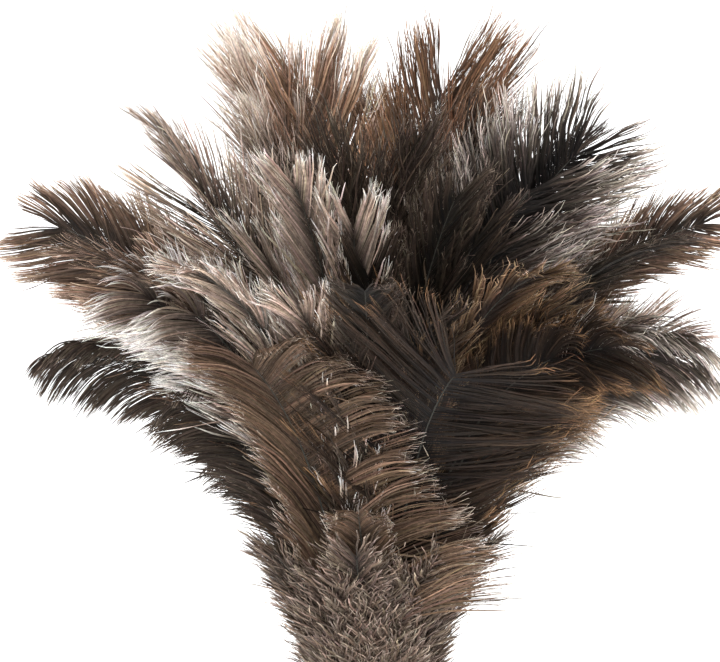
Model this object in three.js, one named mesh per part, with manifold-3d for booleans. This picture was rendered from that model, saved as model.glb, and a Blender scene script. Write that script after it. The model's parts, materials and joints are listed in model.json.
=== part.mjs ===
// Ostrich-feather duster: a turned wooden handle, quills bound in rings round its spigot, a leather collar
// over the binding, and a hanging ring in a screw eye. Millimetres, +Z up along the handle towards the head.
// The origin is on the handle's axis, in the middle of the grip.

import * as THREE from "three";
import { mergeVertices } from "three/addons/utils/BufferGeometryUtils.js";
import Module from "manifold-3d";

// ---- driving dimensions -------------------------------------------------------------------------------

const GAP = 0.3; // kept between pieces that touch
const BUTT_Z = -110; // lower end of the handle
const COLLAR_BOTTOM_Z = 128;
const COLLAR_TOP_Z = 180;
const SHOULDER_Z = 148; // where the handle steps in to its spigot
const GRIP_RADIUS = 13.5;
const WAIST_RADIUS = 9.5;
const SEAT_RADIUS = 15; // handle inside the collar
const SPIGOT_RADIUS = 5;

const LEATHER = 1.3; // thickness of the collar
const BAND = { height: 7, thickness: 0.8 };
const TACK = { count: 4, headRadius: 3, headHeight: 1.6, shankRadius: 0.7, length: 9 };

const QUILL_RADIUS = 1;
const WIRE_RADIUS = 0.3;
const RING_PITCH = 2 * QUILL_RADIUS + 2 * WIRE_RADIUS + 0.5; // one ring of quills to the next
const FIRST_RING = SPIGOT_RADIUS + QUILL_RADIUS + 0.25;
const WIRE = { turns: 2, pitch: 0.9, sides: 5, stepsPerTurn: 24, lowest: 156, step: 4 };
const QUILL_BUTT_Z = SHOULDER_Z + 2;

const EYE = { radius: 4.2, wire: 1.3, shankRadius: 1.5, shankLength: 20, drop: 7 };
const HANG_RING = { radius: 12, wire: 1.2 };

// One entry per row of plumes, from the middle of the head outwards. A plume leaves the collar upright,
// leans out by lean degrees and then curls over by curl degrees, later for a larger power. colours, reach and
// bend go round the row from its first azimuth, 0 being +X and 90 being +Y; reach scales the length, and
// bend, where a row has one, scales the curl.
const ROWS = [
  {
    name: "core",
    first: -92,
    length: 308,
    lean: 1,
    curl: 32,
    power: 2,
    vane: 46,
    colours: ["dark", "dark", "rust", "chestnut", "grey"],
    reach: [0.85, 0.88, 1, 1, 0.88],
  },
  {
    name: "inner",
    first: -112,
    length: 287,
    lean: 2,
    curl: 50,
    power: 1.6,
    vane: 48,
    colours: ["cream", "dark", "cream", "dark", "rust", "chestnut", "grey", "grey"],
    reach: [0.92, 0.9, 1, 0.97, 0.96, 0.97, 1, 0.94],
  },
  {
    name: "middle",
    first: -92,
    length: 275,
    lean: 9,
    curl: 69,
    power: 1.8,
    vane: 50,
    colours: [
      "dark", "dark", "dark", "rust", "grey", "dark", "cream", "rust", "dark", "grey", "grey", "cream",
    ],
    reach: [0.9, 0.92, 0.97, 1, 0.98, 0.94, 1, 0.96, 0.98, 1, 0.95, 0.93],
  },
  {
    name: "outer",
    first: -97,
    length: 244,
    lean: 11,
    curl: 93,
    power: 2,
    vane: 52,
    colours: [
      "rust", "brown", "brown", "dark", "grey", "brown", "dark", "chestnut", "grey", "brown", "dark", "cream",
      "brown",
    ],
    reach: [0.5, 0.92, 0.97, 0.97, 0.95, 1, 0.95, 0.98, 1, 0.94, 0.94, 0.95, 0.84],
    bend: [0.64, 0.86, 0.94, 1, 1.04, 0.94, 1, 0.9, 1.03, 0.96, 1, 0.62, 0.6],
  },
  {
    name: "neck",
    first: -100,
    length: 96,
    lean: 12,
    curl: 36,
    power: 1.5,
    vane: 30,
    colours: ["grey", "grey", "brown", "grey", "grey", "brown", "grey", "grey"],
    reach: [1, 0.94, 0.98, 0.92, 1, 0.95, 0.9, 0.97],
  },
];
const PLUME_COLOUR = {
  dark: 0x3a2c25,
  brown: 0x5b4636,
  grey: 0x77675c,
  chestnut: 0x8a5c3c,
  rust: 0x6b4026,
  cream: 0x9b8a7c,
};
const SEGMENTS = 10; // along the free length of a plume
const LEAN_BY = 0.16; // share of the length in which a plume has leaned out
const VANE_FROM = 0.08; // shares of the length where the vane starts to widen, is full, and rounds off
const VANE_FULL = 0.5;
const VANE_ROUNDS = 0.78;
const VANE_THICKNESS = 0.8;
const ROOM = 0.84; // share of the room between two neighbours that a vane takes
const SWAY = 3; // largest sideways drift of a tip, in degrees about the handle

const wasm = await Module();
wasm.setup();

// ---- helpers ------------------------------------------------------------------------------------------

const v2 = (x, y) => new THREE.Vector2(x, y);

function solid(geometry) {
  const bare = geometry.clone();
  bare.deleteAttribute("normal");
  bare.deleteAttribute("uv");
  const merged = mergeVertices(bare, 1e-4);
  return new wasm.Manifold(
    new wasm.Mesh({
      numProp: 3,
      vertProperties: merged.attributes.position.array,
      triVerts: new Uint32Array(merged.index.array),
    }),
  );
}

function geometryOf(manifold) {
  const made = manifold.getMesh();
  const geometry = new THREE.BufferGeometry();
  geometry.setAttribute("position", new THREE.BufferAttribute(made.vertProperties, 3));
  geometry.setIndex(new THREE.BufferAttribute(made.triVerts, 1));
  geometry.computeVertexNormals();
  return geometry;
}

/** Turned solid about Z from (radius, z) points that run from the bottom to the top. */
function turned(points, sides) {
  return new THREE.LatheGeometry(points, sides).rotateX(Math.PI / 2);
}

/** Closed ring about Z whose section is the polygon of (radius, z) points, counter-clockwise. */
function ringOf(section, sides) {
  return turned([...section, section[0]], sides);
}

/** Cylinder about +X from x = from to x = to, turned to an azimuth in radians and lifted to z. */
function radialPin(radius, from, to, azimuth, z) {
  return new THREE.CylinderGeometry(radius, radius, to - from, 10)
    .rotateZ(-Math.PI / 2)
    .translate((from + to) / 2, 0, 0)
    .rotateZ(azimuth)
    .translate(0, 0, z);
}

function mesh(name, geometry, color, roughness, metalness = 0) {
  const made = new THREE.Mesh(geometry, new THREE.MeshStandardMaterial({ color, roughness, metalness }));
  made.name = name;
  return made;
}

const smooth = (x, low, high) => THREE.MathUtils.smoothstep(x, low, high);

/** A repeatable number from -1 to 1 for the given seed. */
function variation(seed) {
  const x = Math.sin(seed * 12.9898) * 43758.5453;
  return 2 * (x - Math.floor(x)) - 1;
}

// ---- handle, collar and trim --------------------------------------------------------------------------

const tackAngle = (i) => ((i + 0.5) / TACK.count) * 2 * Math.PI;
const TACK_Z = COLLAR_BOTTOM_Z + 2 + BAND.height / 2;
const LOWER_WALL = SEAT_RADIUS + GAP; // inside of the collar round the handle
const UPPER_WALL = FIRST_RING + 4 * RING_PITCH + QUILL_RADIUS + GAP; // and round the quills

/** Takes the tacks' clearance holes out of a geometry. */
function drilled(geometry) {
  let left = solid(geometry);
  for (let i = 0; i < TACK.count; i++) {
    const hole = radialPin(TACK.shankRadius + GAP, 2, SEAT_RADIUS + 8, tackAngle(i), TACK_Z);
    left = left.subtract(solid(hole));
  }
  return left;
}

function handle() {
  const profile = [
    v2(0, BUTT_Z),
    v2(9, BUTT_Z),
    v2(11.2, BUTT_Z + 2),
    v2(12.4, BUTT_Z + 7),
    v2(12.9, BUTT_Z + 16),
    ...new THREE.SplineCurve([
      v2(12.9, BUTT_Z + 30),
      v2(GRIP_RADIUS, BUTT_Z + 70),
      v2(12.6, 10),
      v2(WAIST_RADIUS + 1, 60),
      v2(WAIST_RADIUS, 96),
    ]).getPoints(14),
    v2(WAIST_RADIUS + 0.8, 104),
    v2(12.6, 106.5),
    v2(13.6, 109),
    v2(12.6, 111.5),
    v2(11.4, 113),
    v2(12.4, 118),
    v2(14.2, 123),
    v2(SEAT_RADIUS, COLLAR_BOTTOM_Z - 1),
    v2(SEAT_RADIUS, SHOULDER_Z - 6),
    v2(SEAT_RADIUS - 1, SHOULDER_Z),
    v2(SPIGOT_RADIUS, SHOULDER_Z),
    v2(SPIGOT_RADIUS, COLLAR_TOP_Z - 3),
    v2(SPIGOT_RADIUS - 1.2, COLLAR_TOP_Z - 1),
    v2(0, COLLAR_TOP_Z - 1),
  ];
  const pilot = new THREE.CylinderGeometry(
    EYE.shankRadius + GAP,
    EYE.shankRadius + GAP,
    2 * (EYE.shankLength + EYE.radius - EYE.drop + 1),
    12,
  )
    .rotateX(Math.PI / 2)
    .translate(0, 0, BUTT_Z);
  return mesh("handle", geometryOf(drilled(turned(profile, 32)).subtract(solid(pilot))), 0x785438, 0.45);
}

function collar() {
  const wall = [
    v2(LOWER_WALL, COLLAR_BOTTOM_Z),
    v2(LOWER_WALL, SHOULDER_Z - 8),
    v2(LOWER_WALL + 1.2, SHOULDER_Z - 5),
    v2(UPPER_WALL - 1, SHOULDER_Z - 1),
    v2(UPPER_WALL, SHOULDER_Z + 1),
    v2(UPPER_WALL, COLLAR_TOP_Z),
  ];
  const outside = wall.map((p) => v2(p.x + LEATHER, p.y));
  return mesh("collar", geometryOf(drilled(ringOf([...outside, ...wall.reverse()], 32))), 0x2b1d16, 0.6);
}

function band(name, wall, bottom) {
  const inside = wall + LEATHER + GAP;
  const outside = inside + BAND.thickness;
  const section = [
    v2(inside, bottom),
    v2(outside - 0.3, bottom),
    v2(outside, bottom + 0.6),
    v2(outside, bottom + BAND.height - 0.6),
    v2(outside - 0.3, bottom + BAND.height),
    v2(inside, bottom + BAND.height),
  ];
  return mesh(name, geometryOf(drilled(ringOf(section, 32))), 0x4a3222, 0.55);
}

function tack(i) {
  const seat = LOWER_WALL + LEATHER + GAP + BAND.thickness + GAP;
  const head = [
    v2(0, 0),
    v2(TACK.headRadius, 0),
    v2(TACK.headRadius * 0.87, TACK.headHeight * 0.5),
    v2(TACK.headRadius * 0.5, TACK.headHeight * 0.87),
    v2(0, TACK.headHeight),
  ];
  const dome = turned(head, 14)
    .rotateY(Math.PI / 2)
    .translate(seat, 0, 0)
    .rotateZ(tackAngle(i))
    .translate(0, 0, TACK_Z);
  const shank = radialPin(TACK.shankRadius, seat - TACK.length, seat + 0.4, tackAngle(i), TACK_Z);
  return mesh(`collar_tack_${i + 1}`, geometryOf(solid(dome).add(solid(shank))), 0xb08a4a, 0.35, 1);
}

// ---- binding and hanging ring -------------------------------------------------------------------------

class Helix extends THREE.Curve {
  constructor(radius, bottom) {
    super();
    this.radius = radius;
    this.bottom = bottom;
  }

  getPoint(t, target = new THREE.Vector3()) {
    const turn = t * WIRE.turns * 2 * Math.PI;
    return target.set(
      this.radius * Math.cos(turn),
      this.radius * Math.sin(turn),
      this.bottom + t * WIRE.turns * WIRE.pitch,
    );
  }
}

/** Wire wound round ring number i of quills, in the space between it and the next ring. */
function bindingWire(i) {
  const radius = FIRST_RING + (i + 0.5) * RING_PITCH;
  const circle = new THREE.EllipseCurve(0, 0, WIRE_RADIUS, WIRE_RADIUS);
  const section = new THREE.Shape(circle.getPoints(WIRE.sides).slice(0, WIRE.sides));
  const wound = new THREE.ExtrudeGeometry(section, {
    steps: WIRE.turns * WIRE.stepsPerTurn,
    extrudePath: new Helix(radius, WIRE.lowest + i * WIRE.step),
  });
  return mesh(`binding_wire_${i + 1}`, wound, 0x8d8d8a, 0.4, 1);
}

const EYE_Z = BUTT_Z - EYE.drop;

function screwEye() {
  const loop = new THREE.TorusGeometry(EYE.radius, EYE.wire, 8, 24).rotateX(Math.PI / 2);
  const shank = new THREE.CylinderGeometry(EYE.shankRadius, EYE.shankRadius * 0.5, EYE.shankLength, 12)
    .rotateX(-Math.PI / 2)
    .rotateX(Math.PI)
    .translate(0, 0, EYE.radius + EYE.shankLength / 2);
  const whole = solid(loop).add(solid(shank)).translate(0, 0, EYE_Z);
  return mesh("screw_eye", geometryOf(whole), 0xc9b27a, 0.3, 1);
}

/** The ring hangs from the eye's lower wire, in the plane across the eye. */
function hangRing() {
  const top = EYE_Z - EYE.radius + EYE.wire + GAP + HANG_RING.wire;
  const loop = new THREE.TorusGeometry(HANG_RING.radius, HANG_RING.wire, 8, 36)
    .rotateY(Math.PI / 2)
    .translate(0, 0, top - HANG_RING.radius);
  return mesh("hang_ring", loop, 0xb9b9b6, 0.25, 1);
}

// ---- plumes -------------------------------------------------------------------------------------------

/** The plume's centre line from the collar's top to the tip, as points with the direction across the vane. */
function spine(row, azimuth, length, curl, ring, sway) {
  const stations = [];
  const fine = 12;
  const step = length / (SEGMENTS * fine);
  let radius = ring;
  let height = COLLAR_TOP_Z;
  for (let i = 0; i <= SEGMENTS * fine; i++) {
    const u = i / (SEGMENTS * fine);
    const turn = azimuth + THREE.MathUtils.degToRad(sway) * u * u;
    const tilt = THREE.MathUtils.degToRad(row.lean * smooth(u, 0, LEAN_BY) + curl * u ** row.power);
    const out = new THREE.Vector3(Math.cos(turn), Math.sin(turn), 0);
    const across = new THREE.Vector3(-Math.sin(turn), Math.cos(turn), 0);
    const face = out.clone().multiplyScalar(Math.cos(tilt)).setZ(-Math.sin(tilt));
    if (i % fine === 0) {
      stations.push({ u, radius, at: out.multiplyScalar(radius).setZ(height), across, face });
    }
    radius += step * Math.sin(tilt);
    height += step * Math.cos(tilt);
  }
  return stations;
}

/** Half the vane's width at share u of the length, held to the room beside its neighbours. */
function halfVane(row, u, radius) {
  const rounding = THREE.MathUtils.clamp((u - VANE_ROUNDS) / (1 - VANE_ROUNDS), 0, 1);
  const full = (row.vane / 2) * smooth(u, VANE_FROM, VANE_FULL) * Math.sqrt(1 - rounding * rounding);
  const room = radius * Math.tan(Math.PI / row.colours.length) * ROOM - GAP;
  return Math.max(QUILL_RADIUS, Math.min(full, room));
}

/** Closed blade through the stations: a section of four corners, wide across and thin through. */
function blade(stations) {
  const corners = [];
  for (const { at, across, face, wide, thin } of stations) {
    corners.push(
      at.clone().addScaledVector(across, wide),
      at.clone().addScaledVector(face, thin),
      at.clone().addScaledVector(across, -wide),
      at.clone().addScaledVector(face, -thin),
    );
  }
  const index = [0, 1, 2, 0, 2, 3];
  for (let s = 0; s < stations.length - 1; s++) {
    for (let k = 0; k < 4; k++) {
      const a = 4 * s + k;
      const b = 4 * s + ((k + 1) % 4);
      index.push(a, b + 4, b, a, a + 4, b + 4);
    }
  }
  const last = 4 * (stations.length - 1);
  index.push(last, last + 2, last + 1, last, last + 3, last + 2);
  const geometry = new THREE.BufferGeometry().setFromPoints(corners);
  geometry.setIndex(index);
  geometry.computeVertexNormals();
  return geometry;
}

function plume(row, rowIndex, i) {
  const count = row.colours.length;
  const ring = FIRST_RING + rowIndex * RING_PITCH;
  const azimuth = THREE.MathUtils.degToRad(row.first) + (i / count) * 2 * Math.PI;
  const sway = SWAY * variation(10 * rowIndex + i + 1);
  const curl = row.curl * (row.bend ? row.bend[i] : 1);
  const free = spine(row, azimuth, row.length * row.reach[i], curl, ring, sway);
  for (const station of free) {
    station.wide = halfVane(row, station.u, station.radius);
    station.thin = THREE.MathUtils.lerp(QUILL_RADIUS, VANE_THICKNESS / 2, smooth(station.u, 0, VANE_FULL));
  }
  const butt = { ...free[0], at: free[0].at.clone().setZ(QUILL_BUTT_Z) };
  const name = `plume_${row.name}_${String(i + 1).padStart(2, "0")}`;
  return mesh(name, blade([butt, ...free]), PLUME_COLOUR[row.colours[i]], 0.85);
}

// ---- assembly -----------------------------------------------------------------------------------------

const duster = new THREE.Group();
duster.add(handle(), collar());
duster.add(band("collar_band_upper", UPPER_WALL, COLLAR_TOP_Z - BAND.height - 1));
duster.add(band("collar_band_lower", LOWER_WALL, TACK_Z - BAND.height / 2));
for (let i = 0; i < TACK.count; i++) {
  duster.add(tack(i));
}
for (let i = 0; i < ROWS.length - 1; i++) {
  duster.add(bindingWire(i));
}
duster.add(screwEye(), hangRing());
ROWS.forEach((row, rowIndex) => {
  for (let i = 0; i < row.colours.length; i++) {
    duster.add(plume(row, rowIndex, i));
  }
});

export default duster;
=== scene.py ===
"""Looks of the feather duster: every plume as a quill with its barbs, and the handle, collar and metal."""

import json
import math

import bpy
import numpy as np
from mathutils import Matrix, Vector


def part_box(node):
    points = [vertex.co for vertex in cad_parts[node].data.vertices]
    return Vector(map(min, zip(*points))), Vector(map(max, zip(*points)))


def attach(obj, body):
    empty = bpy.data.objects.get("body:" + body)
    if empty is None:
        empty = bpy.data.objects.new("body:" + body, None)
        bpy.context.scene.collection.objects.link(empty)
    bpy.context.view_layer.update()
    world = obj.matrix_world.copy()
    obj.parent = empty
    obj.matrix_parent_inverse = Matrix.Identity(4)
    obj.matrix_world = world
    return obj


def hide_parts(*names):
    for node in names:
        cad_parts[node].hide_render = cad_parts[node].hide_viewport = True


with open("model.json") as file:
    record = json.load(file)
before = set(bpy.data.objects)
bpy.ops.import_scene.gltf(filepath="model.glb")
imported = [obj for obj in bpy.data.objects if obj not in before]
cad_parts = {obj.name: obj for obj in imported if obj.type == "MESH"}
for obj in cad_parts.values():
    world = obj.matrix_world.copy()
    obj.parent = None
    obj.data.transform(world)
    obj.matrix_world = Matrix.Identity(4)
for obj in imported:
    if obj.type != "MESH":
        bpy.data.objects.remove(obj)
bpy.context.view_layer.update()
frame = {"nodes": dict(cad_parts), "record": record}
SLOT_OF = {part["node"]: part["material_slot"] for part in frame["record"]["subparts"]}
MM = 0.001


# ---- camera, light and floor --------------------------------------------------------------------------

HEAD_CENTRE = Vector((-5.6, 0, 347.0)) * MM
VIEW_ELEVATION = 4
VIEW_DISTANCE = 1.3
VIEW_WIDTH = 0.3096  # metres seen across the picture at the handle's axis
SENSOR = 36

SKY = 0.6
LIGHTS = {
    "key": {"place": (-1.0, -1.3, 1.9), "size": 0.6, "power": 46},
    "fill": {"place": (1.8, -1.2, 0.7), "size": 1.2, "power": 8},
    "rim": {"place": (0.5, 1.6, 1.5), "size": 0.9, "power": 16},
}

FLOOR_Z = -0.16
FLOOR_FLAT = 4.0  # radius of the flat part
FLOOR_SWEEP = 2.0  # radius of the sweep up into the wall
FLOOR_WALL = 7.0  # height at which the wall ends
FLOOR_STEPS = 12
FLOOR_SIDES = 96


def make_camera():
    data = bpy.data.cameras.new("camera")
    data.sensor_width = SENSOR
    data.lens = SENSOR * VIEW_DISTANCE / VIEW_WIDTH
    data.clip_end = 50
    camera = bpy.data.objects.new("camera", data)
    bpy.context.scene.collection.objects.link(camera)
    tilt = math.radians(VIEW_ELEVATION)
    back = Vector((0, -math.cos(tilt), math.sin(tilt)))
    camera.location = HEAD_CENTRE + back * VIEW_DISTANCE
    camera.rotation_euler = (-back).to_track_quat("-Z", "Y").to_euler()
    bpy.context.scene.camera = camera


def area_light(name, place, size, power):
    data = bpy.data.lights.new(name, "AREA")
    data.shape = "DISK"
    data.size = size
    data.energy = power
    lamp = bpy.data.objects.new(name, data)
    bpy.context.scene.collection.objects.link(lamp)
    lamp.location = place
    lamp.rotation_euler = (HEAD_CENTRE - Vector(place)).to_track_quat("-Z", "Y").to_euler()


def make_studio():
    world = bpy.data.worlds.new("studio")
    world.use_nodes = True
    background = world.node_tree.nodes["Background"]
    background.inputs["Color"].default_value = (1, 1, 1, 1)
    background.inputs["Strength"].default_value = SKY
    bpy.context.scene.world = world
    for name, light in LIGHTS.items():
        area_light(name, light["place"], light["size"], light["power"])
    bpy.context.scene.view_settings.view_transform = "Standard"


def make_floor():
    """A round pale floor whose edge sweeps up into a wall, so that no horizon shows from any side."""
    profile = [(0.0, FLOOR_Z), (FLOOR_FLAT, FLOOR_Z)]
    for k in range(1, FLOOR_STEPS + 1):
        turn = k / FLOOR_STEPS * math.pi / 2
        across = FLOOR_FLAT + FLOOR_SWEEP * math.sin(turn)
        profile.append((across, FLOOR_Z + FLOOR_SWEEP * (1 - math.cos(turn))))
    profile.append((FLOOR_FLAT + FLOOR_SWEEP, FLOOR_WALL))
    floor = turned_piece("floor", profile, FLOOR_SIDES)
    floor.data.materials.append(plain_material("floor", (0.93, 0.93, 0.93), 0.9, emission=0.45))


# ---- mesh helpers -------------------------------------------------------------------------------------


def new_mesh_object(name, vertices, loops, sizes):
    """An object from vertex positions, the vertex index of every face corner, and the corners per face."""
    mesh = bpy.data.meshes.new(name)
    mesh.vertices.add(len(vertices))
    mesh.vertices.foreach_set("co", np.asarray(vertices, np.float32).ravel())
    mesh.loops.add(len(loops))
    mesh.loops.foreach_set("vertex_index", np.asarray(loops, np.int32))
    starts = np.concatenate([[0], np.cumsum(sizes)[:-1]])
    mesh.polygons.add(len(sizes))
    mesh.polygons.foreach_set("loop_start", starts.astype(np.int32))
    mesh.polygons.foreach_set("loop_total", np.asarray(sizes, np.int32))
    mesh.polygons.foreach_set("use_smooth", np.ones(len(sizes), bool))
    mesh.update(calc_edges=True)
    made = bpy.data.objects.new(name, mesh)
    bpy.context.scene.collection.objects.link(made)
    return made


def turned_piece(name, profile, sides):
    """Surface turned about Z from (radius, z) points. A point on the axis closes the surface."""
    vertices, rings = [], []
    for radius, z in profile:
        if radius < 1e-6:
            rings.append([len(vertices)] * sides)
            vertices.append((0, 0, z))
            continue
        rings.append([len(vertices) + k for k in range(sides)])
        for k in range(sides):
            turn = 2 * math.pi * k / sides
            vertices.append((radius * math.cos(turn), radius * math.sin(turn), z))
    loops, sizes = [], []
    for low, high in zip(rings, rings[1:]):
        for k in range(sides):
            m = (k + 1) % sides
            face = list(dict.fromkeys((low[k], low[m], high[m], high[k])))
            loops += face
            sizes.append(len(face))
    return new_mesh_object(name, vertices, loops, sizes)


def unit(v):
    return v / np.maximum(np.linalg.norm(v, axis=-1, keepdims=True), 1e-9)


def resampled(line, count):
    """A smooth curve through the points of line, at count places evenly spaced along it, and its length."""
    padded = np.vstack([2 * line[0] - line[1], line, 2 * line[-1] - line[-2]])
    fine = []
    for a, b, c, d in zip(padded, padded[1:], padded[2:], padded[3:]):
        for t in np.linspace(0, 1, 12, endpoint=False):
            fine.append(0.5 * (2 * b + (c - a) * t + (2 * a - 5 * b + 4 * c - d) * t**2
                               + (3 * b - a - 3 * c + d) * t**3))
    fine.append(line[-1])
    fine = np.array(fine)
    along = np.concatenate([[0], np.cumsum(np.linalg.norm(np.diff(fine, axis=0), axis=1))])
    places = np.linspace(0, along[-1], count)
    return np.stack([np.interp(places, along, fine[:, k]) for k in range(3)], axis=1), along[-1]


# ---- materials ----------------------------------------------------------------------------------------


def new_material(name):
    material = bpy.data.materials.new(name)
    material.use_nodes = True
    return material, material.node_tree.nodes, material.node_tree.links


def plain_material(name, colour, roughness, emission=0.0):
    material, nodes, _ = new_material(name)
    shader = nodes["Principled BSDF"]
    shader.inputs["Base Color"].default_value = (*colour, 1)
    shader.inputs["Roughness"].default_value = roughness
    shader.inputs["Emission Color"].default_value = (1, 1, 1, 1)
    shader.inputs["Emission Strength"].default_value = emission
    return material


def map_range(nodes, links, value, low, high, to_low, to_high):
    span = nodes.new("ShaderNodeMapRange")
    span.inputs["From Min"].default_value = low
    span.inputs["From Max"].default_value = high
    span.inputs["To Min"].default_value = to_low
    span.inputs["To Max"].default_value = to_high
    links.new(value, span.inputs["Value"])
    return span.outputs["Result"]


def math_node(nodes, links, operation, *terms):
    """One step of arithmetic on terms that are each an output or a number."""
    made = nodes.new("ShaderNodeMath")
    made.operation = operation
    for socket, term in zip(made.inputs, terms):
        if isinstance(term, float):
            socket.default_value = term
        else:
            links.new(term, socket)
    return made.outputs["Value"]


def scaled(nodes, links, colour, scale):
    """A colour made lighter or darker by a value."""
    made = nodes.new("ShaderNodeVectorMath")
    made.operation = "SCALE"
    links.new(colour, made.inputs[0])
    links.new(scale, made.inputs["Scale"])
    return made.outputs["Vector"]


def noise(nodes, links, scale, detail, stretch=(1, 1, 1)):
    """Noise in the object's own metres, drawn out along an axis by a stretch under 1."""
    place = nodes.new("ShaderNodeTexCoord")
    mapping = nodes.new("ShaderNodeMapping")
    mapping.inputs["Scale"].default_value = stretch
    texture = nodes.new("ShaderNodeTexNoise")
    texture.inputs["Scale"].default_value = scale
    texture.inputs["Detail"].default_value = detail
    links.new(place.outputs["Object"], mapping.inputs["Vector"])
    links.new(mapping.outputs["Vector"], texture.inputs["Vector"])
    return texture.outputs["Fac"]


def ramp(nodes, links, value, stops):
    """Colours at places along a value."""
    made = nodes.new("ShaderNodeValToRGB")
    links.new(value, made.inputs["Fac"])
    elements = made.color_ramp.elements
    elements[0].position, elements[0].color = stops[0][0], (*stops[0][1], 1)
    elements[1].position, elements[1].color = stops[-1][0], (*stops[-1][1], 1)
    for place, colour in stops[1:-1]:
        elements.new(place).color = (*colour, 1)
    return made.outputs["Color"]


def bump(nodes, links, height, distance, strength):
    made = nodes.new("ShaderNodeBump")
    made.inputs["Distance"].default_value = distance
    made.inputs["Strength"].default_value = strength
    links.new(height, made.inputs["Height"])
    return made.outputs["Normal"]


def feather_material():
    """Dye and painted root shade come from the mesh; a painted highlight makes each barb's edges lighter
    than its middle.
    """
    material, nodes, links = new_material("feather")
    shader = nodes["Principled BSDF"]
    shader.inputs["Roughness"].default_value = 0.68
    shader.inputs["Specular IOR Level"].default_value = 0.18
    dye_and_shade = nodes.new("ShaderNodeVertexColor")
    dye_and_shade.layer_name = "dye_and_shade"
    strand = nodes.new("ShaderNodeUVMap")
    strand.uv_map = "strand"
    across = nodes.new("ShaderNodeSeparateXYZ")
    links.new(strand.outputs["UV"], across.inputs["Vector"])
    offset = math_node(nodes, links, "SUBTRACT", across.outputs["X"], 0.5)
    distance = math_node(nodes, links, "ABSOLUTE", offset)
    # painted highlight: a barb's loose edges lighter and its middle darker, as if its barbules caught the
    # light
    edge_highlight = map_range(nodes, links, distance, 0.1, 0.5, 0.72, 1.3)
    fleck = map_range(nodes, links, noise(nodes, links, 500, 3), 0.3, 0.7, 0.7, 1.3)
    shade = math_node(nodes, links, "MULTIPLY", edge_highlight, fleck)
    links.new(scaled(nodes, links, dye_and_shade.outputs["Color"], shade), shader.inputs["Base Color"])
    return material


# ---- plumes -------------------------------------------------------------------------------------------

# Linear colours of a barb at its root, which is painted shade, along it, and at its tip, and the share of
# the barb that is tip.
DYE_AND_SHADE = {
    "plume_dark": ((0.008, 0.006, 0.004), (0.042, 0.029, 0.021), (0.21, 0.16, 0.125), 0.08),
    "plume_brown": ((0.014, 0.009, 0.006), (0.105, 0.063, 0.039), (0.29, 0.195, 0.13), 0.10),
    "plume_grey": ((0.030, 0.021, 0.016), (0.285, 0.207, 0.160), (0.74, 0.63, 0.55), 0.14),
    "plume_chestnut": ((0.040, 0.020, 0.011), (0.270, 0.155, 0.098), (0.84, 0.72, 0.62), 0.38),
    "plume_rust": ((0.012, 0.006, 0.004), (0.105, 0.052, 0.027), (0.34, 0.20, 0.12), 0.14),
    "plume_cream": ((0.030, 0.021, 0.016), (0.350, 0.262, 0.208), (0.90, 0.82, 0.74), 0.22),
}
GOLDEN = ((0.016, 0.009, 0.006), (0.120, 0.068, 0.036), (0.40, 0.27, 0.17), 0.2)
DARK_GOLD = ((0.006, 0.004, 0.003), (0.026, 0.015, 0.009), (0.24, 0.135, 0.068), 0.17)
DARK_WHITE_TIPS = ((0.008, 0.006, 0.005), (0.072, 0.054, 0.043), (0.66, 0.57, 0.50), 0.27)
CREAM_TIPS = ((0.020, 0.014, 0.011), (0.190, 0.142, 0.112), (0.95, 0.90, 0.84), 0.34)
GREY_GOLD = ((0.020, 0.013, 0.009), (0.140, 0.087, 0.059), (0.46, 0.33, 0.245), 0.16)
BROWN_PALE_TIPS = ((0.050, 0.031, 0.020), (0.135, 0.085, 0.055), (0.60, 0.50, 0.42), 0.08)
DOWN = ((0.016, 0.011, 0.009), (0.112, 0.078, 0.058), (0.37, 0.29, 0.235), 0.20)
QUILL_DYE = (0.062, 0.060, 0.050)

# How the barbs of each row of plumes lie. length and angle are in mm and degrees from the quill, each near
# the collar, along the vane and at its tip. droop is how far a barb hangs by its own weight, near the collar
# and at the tip, and lift how far it stands off the vane's outer face. start is where on the quill the vane
# begins; pitch is the distance between neighbours and width that of one barb, in mm. roll turns the vane
# about its quill, in degrees. loose says how far single barbs stray and wave how much they snake, and shade
# is the stretch of a barb where its painted root shade ends. right holds what differs on the right of the
# quill.
# Each companion is a plume bound beside the first one and cut shorter, with a vane only near its tip:
# degrees round the handle, and share of the length.
PLAIN = {"roll": 0, "loose": 1, "wave": 0.09, "width": 0.52, "shade": (0.0, 0.6), "right": {}}
ROW_STYLE = {
    "core": {
        "length": (30, 60, 42), "angle": (30, 28, 20), "droop": (0, 0.05), "lift": 0.05, "start": 0.50,
        "pitch": 0.26, "width": 0.5, "loose": 2.2, "wave": 0.16,
        "companions": ((-30, 0.97), (-12, 0.88), (8, 0.90)),
    },
    "inner": {
        "length": (24, 44, 15), "angle": (26, 18, 13), "droop": (0, 0.1), "lift": 0.06, "start": 0.45,
        "pitch": 0.55, "width": 0.56, "shade": (0.25, 0.75),
        "companions": ((-24, 0.86), (14, 0.92), (-9, 0.76), (6, 0.68), (-17, 0.62)),
    },
    "middle": {
        "length": (26, 42, 14), "angle": (28, 19, 12), "droop": (0, 0.25), "lift": 0.08, "start": 0.32,
        "pitch": 0.55, "width": 0.56, "shade": (0.25, 0.75),
        "companions": ((15, 0.86), (-8, 0.78), (8, 0.70), (-4, 0.62), (18, 0.56)),
    },
    "outer": {
        "length": (18, 56, 32), "angle": (18, 34, 8), "droop": (0, 0.9), "lift": 0.08, "start": 0.16,
        "pitch": 0.28, "width": 0.5, "companions": ((13.8, 0.78), (-6, 0.66)),
    },
    "neck": {
        "length": (15, 23, 15), "angle": (38, 36, 20), "droop": (0.1, 0.1), "lift": 0.16, "start": 0.04,
        "pitch": 0.30, "width": 0.62, "loose": 5, "wave": 0.30, "dye_and_shade": DOWN,
        "companions": ((15, 0.8), (30, 0.9), (22, 0.55)),
    },
}

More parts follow.
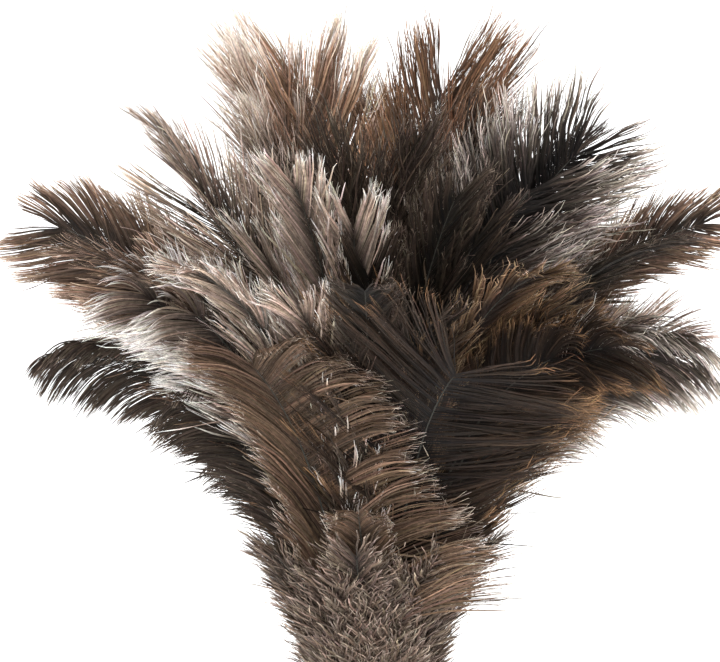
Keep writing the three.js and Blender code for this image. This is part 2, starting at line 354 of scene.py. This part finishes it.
# Plumes that stand out from their row, and what is different in them.
ACCENTS = {
    "plume_inner_01": {"shade": (0.05, 0.45)},
    "plume_middle_12": {"shade": (0.05, 0.45)},
    "plume_core_04": {
        "length": (34, 66, 46), "angle": (30, 31, 26), "pitch": 0.20, "loose": 1.6,
        "companions": ((30, 0.96), (14, 0.99), (40, 0.88)),
    },
    "plume_inner_03": {
        "length": (30, 50, 30), "angle": (44, 40, 22), "roll": 60, "pitch": 0.25, "loose": 3.5, "wave": 0.2,
        "dye_and_shade": DARK_WHITE_TIPS, "companions": ((-12, 0.94), (9, 0.86), (14, 0.74), (-18, 0.84)),
    },
    "plume_inner_08": {
        "length": (26, 56, 44), "angle": (34, 26, 10), "roll": -60, "pitch": 0.7, "width": 0.5, "loose": 3,
    },
    "plume_middle_02": {"dye_and_shade": GOLDEN},
    "plume_middle_04": {
        "length": (18, 28, 12), "angle": (36, 32, 12), "roll": 80, "start": 0.6, "loose": 3, "pitch": 0.25,
        "dye_and_shade": GREY_GOLD,
    },
    "plume_middle_11": {"dye_and_shade": GREY_GOLD},
    "plume_middle_10": {
        "length": (28, 50, 20), "angle": (40, 38, 12), "roll": -80, "pitch": 0.24, "width": 0.5,
        "right": {"length": (23, 42, 16), "angle": (34, 32, 10)}, "dye_and_shade": GREY_GOLD,
        "companions": ((-5, 0.90), (7, 0.84), (0, 0.75)),
    },
    "plume_outer_01": {
        "length": (14, 26, 16), "angle": (30, 28, 12), "dye_and_shade": BROWN_PALE_TIPS, "companions": (),
    },
    "plume_outer_02": {
        "length": (54, 76, 50), "angle": (46, 52, 18), "droop": (0, 0.08), "start": 0.36, "lift": 0.15,
        "roll": 32, "pitch": 0.30, "width": 0.5, "dye_and_shade": DARK_GOLD, "companions": (),
    },
    "plume_outer_03": {
        "length": (24, 40, 24), "start": 0.5, "roll": 50, "dye_and_shade": DARK_GOLD,
        "companions": ((9, 0.8), (-5, 0.93)),
    },
    "plume_outer_04": {
        "length": (22, 46, 18), "roll": 50, "droop": (0, 1.9), "dye_and_shade": DARK_WHITE_TIPS, "loose": 2.5,
        "pitch": 0.28, "companions": ((13.8, 0.86), (-6, 0.74), (6, 0.92)),
    },
    "plume_outer_05": {
        "length": (18, 46, 28), "roll": 70, "droop": (0, 0.2), "loose": 2,
        "companions": ((-9, 0.9), (7, 0.8)),
    },
    "plume_outer_11": {
        "length": (20, 34, 16), "roll": -60, "droop": (0.2, 2.2), "pitch": 0.24, "loose": 2.5,
    },
    "plume_outer_12": {
        "length": (16, 38, 24), "roll": -62, "droop": (0, 1.0), "start": 0.62, "loose": 2.5, "pitch": 0.26,
        "dye_and_shade": CREAM_TIPS, "companions": ((6, 0.94), (13, 0.96), (-5, 0.82)),
    },
    "plume_outer_13": {
        "length": (50, 60, 34), "angle": (14, 16, 8), "droop": (0.5, 0.35), "lift": 0.3, "roll": -35,
        "start": 0.26, "pitch": 0.22, "width": 0.5, "dye_and_shade": BROWN_PALE_TIPS, "companions": (),
        "right": {"length": (98, 58, 24), "angle": (54, 56, 28), "droop": (0.62, 0.7), "lift": 0.5},
    },
}
COMPANION_VANE = 95 * MM
SPINE_POINTS = 48
ROLLED_BY = 0.4  # share of the length in which a rolled vane has turned
BLADE_THICKNESS = 3 * MM  # more than the thin way through a blade and less than its width
FULL_FROM, ROUND_FROM = 0.4, 0.74  # where on the vane its barbs are full, and where its tip starts to round
FIRST_SEED = 100

QUILL_SIDES = 6
QUILL_POINTS = 40
QUILL_RADII = (0.9 * MM, 0.2 * MM)
QUILL_STOPS = 0.8  # the quill ends before the feather does, by this share of its last barbs

# How barbs differ: from bunch to bunch, how wide a bunch is in mm, and from barb to barb within one. The
# second spread of an angle is in degrees. The second spreads of angle, length and lift are for a row whose
# loose is 1.
SPREAD = {
    "angle": (0.07, 14, 1.2),
    "length": (0.05, 9, 0.03),
    "lift": (0.10, 12, 0.05),
    "phase": (2.0, 30, 0.3),
    "curl": (0.40, 5, 0.42),
    "tone": (0.16, 7, 0.34),
}
BARB_STEPS = 11
LEAVES_AT, CLOSES_BY = 1.22, 0.45  # shares of its angle: as a barb leaves the quill, and lost by its tip
SNAKES, RIPPLES = 11, 9  # radians of waviness along a barb, in the vane and through it
RIPPLE_HEIGHT = 0.05
HOOK_FROM, HOOK_POWER, HOOK_OUT = 0.8, 1.5, 0.8  # where a barb starts to curl, how fast, and how far out
DROOP_POWER = 1.4  # how late along a barb its droop sets in
TWIST = 0.45  # radians that a ribbon is turned about its own length, as a spread
STRAY_SHARE, STRAY_ANGLE = 0.015, (1.2, 1.9)  # the few barbs that stick out, and how much further

CELL_HEIGHT = 8  # a strand's texture cell, in its own widths


def spine_of(node):
    """Centre line of a plume's blade, from its butt to its tip. A section of the blade has four corners, and
    the line goes midway between the two that face each other through the thickness."""
    co = np.array([v.co for v in frame["nodes"][node].data.vertices], float)
    co = np.unique(np.round(co, 6), axis=0)
    left = list(range(len(co)))
    points = []
    while left:
        first = left.pop(0)
        near = [k for k in left if np.linalg.norm(co[k] - co[first]) < BLADE_THICKNESS]
        if near:
            points.append(co[[first, *near]].mean(axis=0))
            left = [k for k in left if k not in near]
    points.sort(key=lambda p: p[2])
    line = [points.pop(0)]
    while points:
        nearest = min(range(len(points)), key=lambda k: np.linalg.norm(points[k] - line[-1]))
        line.append(points.pop(nearest))
    return np.array(line)


def companion_spine(spine, degrees, share):
    """The spine of a shorter plume bound beside the first one."""
    cos, sin = math.cos(math.radians(degrees)), math.sin(math.radians(degrees))
    about_z = np.array([[cos, sin, 0], [-sin, cos, 0], [0, 0, 1]])
    points, _ = resampled(spine, SPINE_POINTS)
    return points[2 : int(share * SPINE_POINTS)] @ about_z


def frames_along(points, roll=0):
    """Tangent, direction across the vane and direction out of its face at each point of a spine."""
    forward = unit(np.gradient(points, axis=0))
    out = points.copy()
    out[:, 2] = 0
    out = unit(out)
    side = unit(np.cross(np.array([0, 0, 1.0]), out))
    side = unit(side - (side * forward).sum(1, keepdims=True) * forward)
    face = np.cross(side, forward)
    turn = math.radians(roll) * np.clip(np.linspace(0, 1, len(points)) / ROLLED_BY, 0, 1)[:, None]
    return forward, side * np.cos(turn) + face * np.sin(turn), face * np.cos(turn) - side * np.sin(turn)


def along_vane(values, s):
    """From values[0] at the vane's foot to values[1], then round to values[2] at its tip."""
    rounding = np.clip((s - ROUND_FROM) / (1 - ROUND_FROM), 0, 1)
    body = np.interp(s, [0, FULL_FROM], values[:2])
    return values[2] + (body - values[2]) * np.sqrt(1 - rounding**2)


def drift(rng, place, wavelength):
    """A number for each place that wanders about 0 with a spread of 1, alike for near neighbours."""
    total = np.zeros_like(place)
    for _ in range(5):
        total += np.sin(2 * math.pi * (place / (wavelength * rng.uniform(0.6, 2.2)) + rng.random()))
    return total / math.sqrt(2.5)


def quill_mesh(points, radii):
    """Vertices and faces of a tapered tube."""
    _, side, face = frames_along(points)
    turn = np.linspace(0, 2 * math.pi, QUILL_SIDES, endpoint=False)
    ring = np.cos(turn)[None, :, None] * side[:, None] + np.sin(turn)[None, :, None] * face[:, None]
    vertices = (points[:, None] + ring * radii[:, None, None]).reshape(-1, 3)
    s, k = np.meshgrid(np.arange(len(points) - 1), np.arange(QUILL_SIDES), indexing="ij")
    m = (k + 1) % QUILL_SIDES
    quads = np.stack([s * QUILL_SIDES + k, s * QUILL_SIDES + m, (s + 1) * QUILL_SIDES + m,
                      (s + 1) * QUILL_SIDES + k], axis=-1).reshape(-1, 4)
    return vertices, quads


def roots_on(points, roll, u_root):
    """Where the barbs leave the quill, with its tangent, side and face directions there."""
    place = np.clip(u_root * (len(points) - 1), 0, len(points) - 1.001)
    low = place.astype(int)
    share = (place - low)[:, None]
    fields = (points, *frames_along(points, roll))
    return (field[low] * (1 - share) + field[low + 1] * share for field in fields)


def barb_manners(rng, style, s_root, along):
    """Angle, length, lift, phase and curl of every barb, and how far each one's tip hooks out."""
    count = len(along)
    own = rng.normal(0, 1, (count, 5))

    def spread(quality, column, loose=1):
        bunched, wide, single = SPREAD[quality]
        return bunched * drift(rng, along, wide * MM), single * loose * own[:, column]

    bunched, single = spread("angle", 0, style["loose"])
    angle = np.radians(along_vane(style["angle"], s_root) * (1 + bunched) + single)
    bunched, single = spread("length", 1, style["loose"])
    length = along_vane(style["length"], s_root) * MM * (1 + bunched + single)
    stray = rng.random(count) < STRAY_SHARE
    angle = np.where(stray, angle * rng.uniform(*STRAY_ANGLE, count), angle)
    bunched, single = spread("lift", 2, style["loose"])
    lift = style["lift"] + bunched + single
    phase = sum(spread("phase", 3))
    curl = sum(spread("curl", 4))
    return angle, length, lift, phase, curl, own[:, 4]


def barb_paths(rng, points, total, style, u_root, s_root, sign):
    """Centre lines of the barbs on one side, and the width direction of each, both (barb, step, 3)."""
    root, ahead_dir, side_dir, face_dir = roots_on(points, style["roll"], u_root)
    manners = barb_manners(rng, style, s_root, u_root * total)
    angle, length, lift, phase, curl, outward = (manner[:, None] for manner in manners)
    t = np.linspace(0, 1, BARB_STEPS + 1)[None, :]
    opening = angle * (LEAVES_AT - CLOSES_BY * t) + style["wave"] * t * np.sin(SNAKES * t + phase)
    hook = np.clip((t - HOOK_FROM) / (1 - HOOK_FROM), 0, 1) ** HOOK_POWER
    through = lift * (0.3 + 0.8 * t) + RIPPLE_HEIGHT * np.sin(RIPPLES * t + 2 * phase) * t
    across = sign * np.sin(opening) + hook * curl
    heading = (np.cos(opening)[..., None] * ahead_dir[:, None] + across[..., None] * side_dir[:, None]
               + (through + HOOK_OUT * hook * outward)[..., None] * face_dir[:, None])
    heading[..., 2] -= np.interp(s_root**2, [0, 1], style["droop"])[:, None] * t**DROOP_POWER
    heading = unit(heading)
    step = (length / BARB_STEPS)[..., None] * heading[:, :-1]
    paths = np.concatenate([root[:, None], root[:, None] + np.cumsum(step, axis=1)], axis=1)
    twist = rng.normal(0, TWIST, (len(u_root), 1, 1))
    flat = unit(np.cross(face_dir[:, None], heading))
    return paths, unit(np.cos(twist) * flat + np.sin(twist) * face_dir[:, None])


def ribbon_mesh(paths, broad, widths):
    """A flat ribbon along every path: vertices (barb, step, 2, 3) flattened, and quads."""
    count, steps, _ = paths.shape
    half = 0.5 * widths[..., None] * broad
    vertices = np.stack([paths - half, paths + half], axis=2).reshape(-1, 3)
    b, s = np.meshgrid(np.arange(count), np.arange(steps - 1), indexing="ij")
    first = (b * steps + s) * 2
    quads = np.stack([first, first + 1, first + 3, first + 2], axis=-1).reshape(-1, 4)
    return vertices, quads


def barb_widths(rng, width, count):
    """Widest near the root, drawn out to a point, with the ragged edge of the barbules."""
    t = np.linspace(0, 1, BARB_STEPS + 1)[None, :]
    base = width * MM * (0.5 + 0.5 * np.minimum(1, t / 0.2)) * (1 - 0.85 * t**6)
    ragged = 1 + 0.16 * rng.normal(0, 1, (count, BARB_STEPS + 1))
    scale = np.exp(0.3 * rng.normal(0, 1, (count, 1)))
    return base * np.clip(ragged * scale, 0.3, 1.7)


def barb_dye_and_shade(rng, style, along):
    """Colour of each barb along its length, with painted shade at its root."""
    count = len(along)
    root, middle, tip, tip_share = (np.array(x) for x in style["dye_and_shade"])
    t = np.linspace(0, 1, BARB_STEPS + 1)[None, :, None]
    low, high = style["shade"]
    rise = np.clip((t - low) / (high - low), 0, 1)
    # painted shade: each barb is dark at its root and fades into its middle colour over the stretch that
    # shade gives
    colour = root * (1 - rise) + middle * rise
    start = 1 - tip_share * (1 + 0.15 * rng.normal(0, 1, (count, 1, 1)))
    pale = np.clip((t - start) / np.maximum(1 - start, 0.05), 0, 1)
    colour = colour * (1 - pale) + tip * pale
    bunched, wide, single = SPREAD["tone"]
    own = single * rng.normal(0, 1, (count, 1, 1))
    tone = np.exp(own + bunched * drift(rng, along, wide * MM)[:, None, None])
    return np.clip(colour * tone * (1 + rng.normal(0, 0.04, (count, 1, 3))), 0.004, 0.95)


def feather_parts(rng, spine, style, is_companion):
    """One feather along a spine: its quill, then the barbs of each side. For each of the three, the
    vertices, faces, colours, places across and along a strand, and the number of strands."""
    points, total = resampled(spine, SPINE_POINTS)
    start = max(style["start"], 1 - COMPANION_VANE / total) if is_companion else style["start"]
    end = 1 - QUILL_STOPS * style["length"][2] * MM / total
    shaft, _ = resampled(points[: int(end * (SPINE_POINTS - 1)) + 1], QUILL_POINTS)
    vertices, faces = quill_mesh(shaft, np.linspace(*QUILL_RADII, QUILL_POINTS))
    dye_and_shade = np.tile(QUILL_DYE, (len(vertices), 1))
    height = np.repeat(np.linspace(0, 1, QUILL_POINTS), QUILL_SIDES)
    parts = [(vertices, faces, dye_and_shade, np.full(len(vertices), 0.5), height, 1)]
    count = int((end - start) * total / (style["pitch"] * MM))
    for sign in (-1, 1):
        s_root = np.sort(np.linspace(0, 1, count) + rng.normal(0, 0.15 / count, count)).clip(0, 1)
        u_root = start + (end - start) * s_root
        lie = {**style, **style["right"]} if sign > 0 else style
        paths, broad = barb_paths(rng, points, total, lie, u_root, s_root, sign)
        vertices, faces = ribbon_mesh(paths, broad, barb_widths(rng, style["width"], count))
        dye_and_shade = np.repeat(barb_dye_and_shade(rng, style, u_root * total).reshape(-1, 3), 2, axis=0)
        across = np.tile([0.0, 1.0], len(vertices) // 2)
        height = np.tile(np.repeat(np.linspace(0, 1, BARB_STEPS + 1), 2), count)
        parts.append((vertices, faces, dye_and_shade, across, height, count))
    return parts


def plume(name, spines, style, seed):
    """One mesh with a feather along each spine."""
    rng = np.random.default_rng(seed)
    parts = [part for k, spine in enumerate(spines) for part in feather_parts(rng, spine, style, k > 0)]
    starts = np.cumsum([0] + [len(part[0]) for part in parts[:-1]])
    vertices = np.vstack([part[0] for part in parts])
    faces = np.vstack([part[1] + first for part, first in zip(parts, starts)])
    dye_and_shade = np.vstack([part[2] for part in parts])
    across = np.concatenate([part[3] for part in parts])
    height = np.concatenate([part[4] for part in parts])
    made = new_mesh_object(name, vertices, faces.ravel(), np.full(len(faces), 4))
    layer = made.data.color_attributes.new("dye_and_shade", "FLOAT_COLOR", "POINT")
    layer.data.foreach_set("color", np.hstack([dye_and_shade, np.ones((len(dye_and_shade), 1))]).astype(np.float32).ravel())
    corners = faces.ravel()
    strand = made.data.uv_layers.new(name="strand")
    strand.data.foreach_set("uv", np.stack([across, height], 1)[corners].astype(np.float32).ravel())
    numbers = []
    for part in parts:
        own = np.arange(len(part[0])) // (len(part[0]) // part[5])
        numbers.append(own + (numbers[-1][-1] + 1 if numbers else 0))
    bake = made.data.uv_layers.new(name="OFBake")
    places = cells(np.concatenate(numbers), across, height)
    bake.data.foreach_set("uv", places[corners].astype(np.float32).ravel())
    return made


def cells(number, across, height):
    """Texture places with a tall cell for every strand, in rows, with a margin round each."""
    count = number[-1] + 1
    columns = math.ceil(math.sqrt(CELL_HEIGHT * count))
    rows = math.ceil(count / columns)
    u = (number % columns + 0.2 + 0.6 * across) / columns
    v = (number // columns + 0.1 + 0.8 * height) / rows
    return np.stack([u, v], axis=1)


def make_plumes():
    feather = feather_material()
    nodes = sorted(n for n in frame["nodes"] if n.startswith("plume_"))
    for number, node in enumerate(nodes):
        row = ROW_STYLE[node.split("_")[1]]
        style = {**PLAIN, "dye_and_shade": DYE_AND_SHADE[SLOT_OF[node]], **row, **ACCENTS.get(node, {})}
        spine = spine_of(node)
        spines = [spine] + [companion_spine(spine, *c) for c in style["companions"]]
        made = plume(node + "_barbs", spines, style, FIRST_SEED + number)
        made.data.materials.append(feather)
        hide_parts(node)
        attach(made, "duster")


# ---- handle, collar and metal -------------------------------------------------------------------------

LATHE_SIDES = 96
BEVEL_STEPS = 4
BEVEL_SHARE = 0.4  # the most of an edge that a bevel takes
HANDLE_BEVEL, COLLAR_BEVEL, BAND_BEVEL = 1.2 * MM, 0.5 * MM, 0.3 * MM

RING_VERTICES = 120  # a full turn of a CAD surface has more vertices than this, the rim of a bore fewer
LEAST_WALL = 0.3 * MM
LEAST_STEP = 1 * MM
SAME_RADIUS = 0.01 * MM

COLLAR_SEAM = math.radians(70)  # azimuth of the edge of the collar's overlap
OVERLAP_HEIGHT = 0.55 * MM
OVERLAP_FADE = 0.5  # radians round the collar over which the overlap sinks back
RIPPLE = {"height": 0.10 * MM, "round": 9, "along": 0.21}  # waves in a turn, and radians to a mm of height
STITCH = {
    "count": 11, "radius": 0.45 * MM, "length": 3.0 * MM, "slant": 28,
    "beside": 0.16,  # radians from the seam
    "proud": 0.75 * MM, "dip": 0.5 * MM,  # height of its middle, and how far its ends go down from there
}

TACK_HEAD, TACK_RADIUS, TACK_RIM = 1.6 * MM, 3.0 * MM, 0.42 * MM
TACK_SHANK = 0.7 * MM
TACK_SIDES = 32

EYE_WIRE = 1.3 * MM
EYE_RADIUS = 4.2 * MM
EYE_TURN = 343  # degrees of the loop, which stops just short of the shank
EYE_SHANK = np.array([0.5, 1.15, 1.2, 1.25]) * MM  # radii from its point in the wood down to the loop
EYE_STEPS, EYE_SIDES = 96, 20

RING_WIRE = 1.2 * MM
RING_JOINT = 0.25 * MM  # gap where the ring's two ends meet
RING_STEPS, RING_SIDES = 160, 24

# Colour where dark and where rubbed, and the size of the grain as its scale.
LEATHERS = {
    "collar_leather": ((0.008, 0.004, 0.003), (0.026, 0.013, 0.008), 900),
    "band_leather": ((0.032, 0.014, 0.007), (0.075, 0.036, 0.018), 1100),
}
# Colour where bright and where tarnished, roughness, and the scale of the scratches.
METALS = {
    "brass": ((0.44, 0.27, 0.09), (0.20, 0.115, 0.036), 0.24, 1600),
    "nickel": ((0.29, 0.285, 0.275), (0.13, 0.125, 0.12), 0.2, 1500),
    "binding_wire": ((0.62, 0.62, 0.60), (0.34, 0.32, 0.30), 0.34, 1800),
}


def ring_profile(node, inside):
    """(radius, z) points of a turned node's outer or inner surface, from the bottom up. The outer surface
    steps in where the next ring up starts from the inner radius of this one."""
    levels = {}
    for vertex in frame["nodes"][node].data.vertices:
        levels.setdefault(round(vertex.co.z, 5), []).append(math.hypot(vertex.co.x, vertex.co.y))
    full = [(z, radii) for z, radii in sorted(levels.items()) if len(radii) > RING_VERTICES]
    rings = [(z, min(radii), max(radii)) for z, radii in full]
    if inside:
        return [(least, z) for z, least, most in rings if most - least > LEAST_WALL]
    profile = []
    for (z, least, most), (_, _, most_above) in zip(rings, rings[1:] + rings[-1:]):
        profile.append((most, z))
        if most - least > LEAST_STEP and abs(most_above - least) < SAME_RADIUS:
            profile.append((least, z))
    return profile


def softened(profile, bevel):
    """The profile with every corner rounded off by up to bevel."""
    out = [profile[0]]
    for before, corner, after in zip(profile, profile[1:], profile[2:]):
        here = np.array(corner)
        to_before, to_after = np.array(before) - here, np.array(after) - here
        reach_before = min(bevel, BEVEL_SHARE * np.linalg.norm(to_before))
        reach_after = min(bevel, BEVEL_SHARE * np.linalg.norm(to_after))
        start = here + unit(to_before) * reach_before
        finish = here + unit(to_after) * reach_after
        for t in np.linspace(0, 1, BEVEL_STEPS + 1):
            out.append(tuple((1 - t) ** 2 * start + 2 * t * (1 - t) * here + t**2 * finish))
    return [*out, profile[-1]]


def add_piece(made, node, material, body="duster"):
    """Hands a finished piece in for its CAD node."""
    made.data.materials.append(material)
    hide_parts(node)
    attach(made, body)


def sweep(name, path, radii, sides, normal):
    """A round tube with capped ends along a path of points, which lies in the plane across the normal."""
    path, normal = np.array(path), np.array(normal)
    across = unit(np.cross(unit(np.gradient(path, axis=0)), normal))
    turn = np.linspace(0, 2 * math.pi, sides, endpoint=False)
    radii = np.broadcast_to(radii, (len(path),))[:, None, None]
    ring = np.cos(turn)[None, :, None] * across[:, None] + np.sin(turn)[None, :, None] * normal
    rings = path[:, None] + radii * ring
    loops, sizes = [], []
    for s in range(len(path) - 1):
        for k in range(sides):
            m = (k + 1) % sides
            loops += [s * sides + k, s * sides + m, (s + 1) * sides + m, (s + 1) * sides + k]
            sizes.append(4)
    loops += [*range(sides - 1, -1, -1), *range((len(path) - 1) * sides, len(path) * sides)]
    sizes += [sides, sides]
    return new_mesh_object(name, rings.reshape(-1, 3), loops, sizes)


def joined(name, pieces):
    """One object from several."""
    with bpy.context.temp_override(active_object=pieces[0], selected_editable_objects=pieces):
        bpy.ops.object.join()
    pieces[0].name = name
    return pieces[0]


def wood_material():
    """Beech under a worn satin lacquer: grain along the handle, short dark flecks, and smudges."""
    material, nodes, links = new_material("handle_wood")
    shader = nodes["Principled BSDF"]
    grain = noise(nodes, links, 160, 6, (1, 1, 0.07))
    colour = ramp(nodes, links, grain, [
        (0.30, (0.060, 0.023, 0.009)), (0.48, (0.155, 0.070, 0.028)), (0.70, (0.225, 0.115, 0.050)),
    ])
    fleck = noise(nodes, links, 900, 2, (1, 1, 0.12))
    flecks = map_range(nodes, links, fleck, 0.32, 0.46, 0.62, 1.0)
    links.new(scaled(nodes, links, colour, flecks), shader.inputs["Base Color"])
    smudge = noise(nodes, links, 55, 4)
    links.new(map_range(nodes, links, smudge, 0.35, 0.65, 0.30, 0.48), shader.inputs["Roughness"])
    shader.inputs["Coat Weight"].default_value = 0.22
    shader.inputs["Coat Roughness"].default_value = 0.16
    links.new(bump(nodes, links, fleck, 0.00012, 0.25), shader.inputs["Normal"])
    return material


def leather_material(name, dark, light, scale):
    """Grained leather: pebbles with fine creases, paler where it is rubbed."""
    material, nodes, links = new_material(name)
    shader = nodes["Principled BSDF"]
    place = nodes.new("ShaderNodeTexCoord")
    pebble = nodes.new("ShaderNodeTexVoronoi")
    pebble.feature = "DISTANCE_TO_EDGE"
    pebble.inputs["Scale"].default_value = scale
    links.new(place.outputs["Object"], pebble.inputs["Vector"])
    crease = map_range(nodes, links, pebble.outputs["Distance"], 0, 0.22, 0, 1)
    rub = noise(nodes, links, 70, 5)
    links.new(ramp(nodes, links, rub, [(0.38, dark), (0.66, light)]), shader.inputs["Base Color"])
    links.new(map_range(nodes, links, rub, 0.35, 0.7, 0.62, 0.42), shader.inputs["Roughness"])
    shader.inputs["Specular IOR Level"].default_value = 0.22
    links.new(bump(nodes, links, crease, 0.00012, 0.5), shader.inputs["Normal"])
    return material


def metal_material(name, bright, dull, roughness, scratch):
    """Metal with faint tarnish clouds and fine scratches."""
    material, nodes, links = new_material(name)
    shader = nodes["Principled BSDF"]
    shader.inputs["Metallic"].default_value = 1
    cloud = noise(nodes, links, 260, 5)
    links.new(ramp(nodes, links, cloud, [(0.34, dull), (0.60, bright)]), shader.inputs["Base Color"])
    dulled = map_range(nodes, links, cloud, 0.3, 0.7, roughness * 1.7, roughness)
    links.new(dulled, shader.inputs["Roughness"])
    lines = noise(nodes, links, scratch, 3, (1, 0.15, 1))
    links.new(bump(nodes, links, lines, 0.00005, 0.3), shader.inputs["Normal"])
    return material


def thread_material():
    material, nodes, links = new_material("stitch_thread")
    shader = nodes["Principled BSDF"]
    twist = noise(nodes, links, 3000, 2)
    shade = ramp(nodes, links, twist, [(0.35, (0.28, 0.20, 0.12)), (0.65, (0.52, 0.41, 0.27))])
    links.new(shade, shader.inputs["Base Color"])
    shader.inputs["Roughness"].default_value = 0.8
    return material


def make_handle():
    profile = ring_profile("handle", inside=False)
    foot = profile[0][1]
    outline = softened([(0.0, foot), *profile, (0.0, profile[-1][1])], HANDLE_BEVEL)
    add_piece(turned_piece("handle_turned", outline, LATHE_SIDES), "handle", wood_material())


def make_collar(material):
    """The leather tube, with an overlapped seam down its back."""
    outer = ring_profile("collar", inside=False)
    inner = ring_profile("collar", inside=True)
    outline = softened([*outer, *inner[::-1], outer[0]], COLLAR_BEVEL)
    tube = turned_piece("collar_leather", [*outline, outline[0]], LATHE_SIDES)
    for vertex in tube.data.vertices:
        x, y, z = vertex.co
        azimuth = math.atan2(y, x)
        away = (azimuth - COLLAR_SEAM + math.pi) % (2 * math.pi) - math.pi
        overlap = OVERLAP_HEIGHT * max(0.0, 1 - away / OVERLAP_FADE) if away > 0 else 0.0
        ripple = RIPPLE["height"] * math.sin(RIPPLE["round"] * azimuth + z / MM * RIPPLE["along"])
        scale = 1 + (overlap + ripple) / math.hypot(x, y)
        vertex.co.x, vertex.co.y = x * scale, y * scale
    add_piece(tube, "collar", material)


def make_stitches():
    """A row of slanted stitches beside the collar's seam, whose ends go down into the leather."""
    bottom, top = (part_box("collar")[k][2] for k in (0, 1))
    outer = ring_profile("collar", inside=False)
    slant = math.radians(STITCH["slant"])
    turn = COLLAR_SEAM + STITCH["beside"]
    out = Vector((math.cos(turn), math.sin(turn), 0))
    across = Vector((-math.sin(turn), math.cos(turn), 0))
    along = across * math.cos(slant) + Vector((0, 0, math.sin(slant)))
    stitches = []
    for k in range(STITCH["count"]):
        z = bottom + (top - bottom) * (k + 3.4) / (STITCH["count"] + 5)
        radius = np.interp(z, [p[1] for p in outer], [p[0] for p in outer]) + STITCH["proud"]
        path = []
        for t in np.linspace(-1, 1, 9):
            middle = out * (radius - STITCH["dip"] * t**4) + Vector((0, 0, z))
            path.append(middle + along * t * STITCH["length"] / 2)
        stitches.append(sweep("stitch", path, STITCH["radius"], 8, out.cross(along)))
    made = joined("collar_stitches", stitches)
    made.data.materials.append(thread_material())
    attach(made, "duster")


def make_bands(material):
    for node in ("collar_band_upper", "collar_band_lower"):
        outer, inner = ring_profile(node, inside=False), ring_profile(node, inside=True)
        loop = softened([*outer, *inner[::-1], outer[0]], BAND_BEVEL)
        add_piece(turned_piece(node + "_strip", [*loop, loop[0]], LATHE_SIDES), node, material)


def tack_profile(depth):
    """(radius, height) points of a tack, from its point at a depth under the head's seat to its dome."""
    profile = [(0, -depth), (TACK_SHANK * 0.4, -depth + 1 * MM), (TACK_SHANK, -5 * MM), (TACK_SHANK, 0),
               (TACK_RADIUS * 0.9, 0), (TACK_RADIUS, 0.2 * MM), (TACK_RADIUS, TACK_RIM)]
    for t in np.linspace(0.12, 1, 10):
        bow = t * math.pi / 2
        height = TACK_RIM + (TACK_HEAD - TACK_RIM) * math.sin(bow)
        profile.append((TACK_RADIUS * 0.96 * math.cos(bow), height))
    profile[-1] = (0, TACK_HEAD)
    return profile


def make_tacks(material):
    """Domed heads with a fine rolled rim, on the shanks that hold the collar."""
    for node in sorted(n for n in frame["nodes"] if n.startswith("collar_tack_")):
        low, high = (Vector(corner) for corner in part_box(node))
        middle = (low + high) / 2
        turn = math.atan2(middle.y, middle.x)
        away = Vector((math.cos(turn), math.sin(turn), 0))
        side = Vector((-away.y, away.x, 0))
        reach = [Vector(v.co).dot(away) for v in frame["nodes"][node].data.vertices]
        seat = max(reach) - TACK_HEAD
        made = turned_piece(node + "_dome", tack_profile(seat - min(reach)), TACK_SIDES)
        for vertex in made.data.vertices:
            x, y, z = vertex.co
            vertex.co = away * (seat + z) + side * x + Vector((0, 0, middle.z + y))
        add_piece(made, node, material)


def make_screw_eye(material):
    """Bent wire: a shank that goes up into the handle and a loop that closes against it."""
    low, high = (Vector(corner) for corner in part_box("screw_eye"))
    centre = Vector((0, 0, low.z + EYE_RADIUS + EYE_WIRE))
    turns = np.linspace(math.radians(90), math.radians(90 - EYE_TURN), EYE_STEPS)
    loop = [centre + EYE_RADIUS * Vector((math.cos(a), 0, math.sin(a))) for a in turns]
    bend = sweep("eye_loop", loop, EYE_WIRE, EYE_SIDES, (0, 1, 0))
    foot = centre.z + EYE_RADIUS
    levels = (high.z, foot + 0.6 * (high.z - foot), foot + 3 * EYE_WIRE, foot)
    shank = sweep("eye_shank", [(0, 0, z) for z in levels], EYE_SHANK, EYE_SIDES, (0, 1, 0))
    add_piece(joined("screw_eye_wire", [bend, shank]), "screw_eye", material)


def make_hang_ring(material):
    """Round wire bent to a ring, with its joint at the bottom."""
    low, high = (Vector(corner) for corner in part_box("hang_ring"))
    centre = (low + high) / 2
    radius = (high.z - low.z) / 2 - RING_WIRE
    gap = RING_JOINT / radius
    turns = np.linspace(gap / 2, 2 * math.pi - gap / 2, RING_STEPS) - math.pi / 2
    path = [centre + radius * Vector((0, math.cos(a), math.sin(a))) for a in turns]
    radii = np.full(len(path), RING_WIRE)
    radii[[0, -1]] = RING_WIRE * 0.9
    made = sweep("hang_ring_wire", path, radii, RING_SIDES, (1, 0, 0))
    add_piece(made, "hang_ring", material, "hang_ring")


def dress_binding_wires(material):
    """The binding wires stay the CAD's own nodes and get only a material."""
    for node, made in frame["nodes"].items():
        if node.startswith("binding_wire_"):
            made.data.materials.clear()
            made.data.materials.append(material)


def make_hardware():
    leather = {name: leather_material(name, *look) for name, look in LEATHERS.items()}
    metal = {name: metal_material(name, *look) for name, look in METALS.items()}
    make_handle()
    make_collar(leather["collar_leather"])
    make_stitches()
    make_bands(leather["band_leather"])
    make_tacks(metal["brass"])
    make_screw_eye(metal["brass"])
    make_hang_ring(metal["nickel"])
    dress_binding_wires(metal["binding_wire"])


# ---- assembly -----------------------------------------------------------------------------------------

make_camera()
make_studio()
make_floor()
make_plumes()
make_hardware()
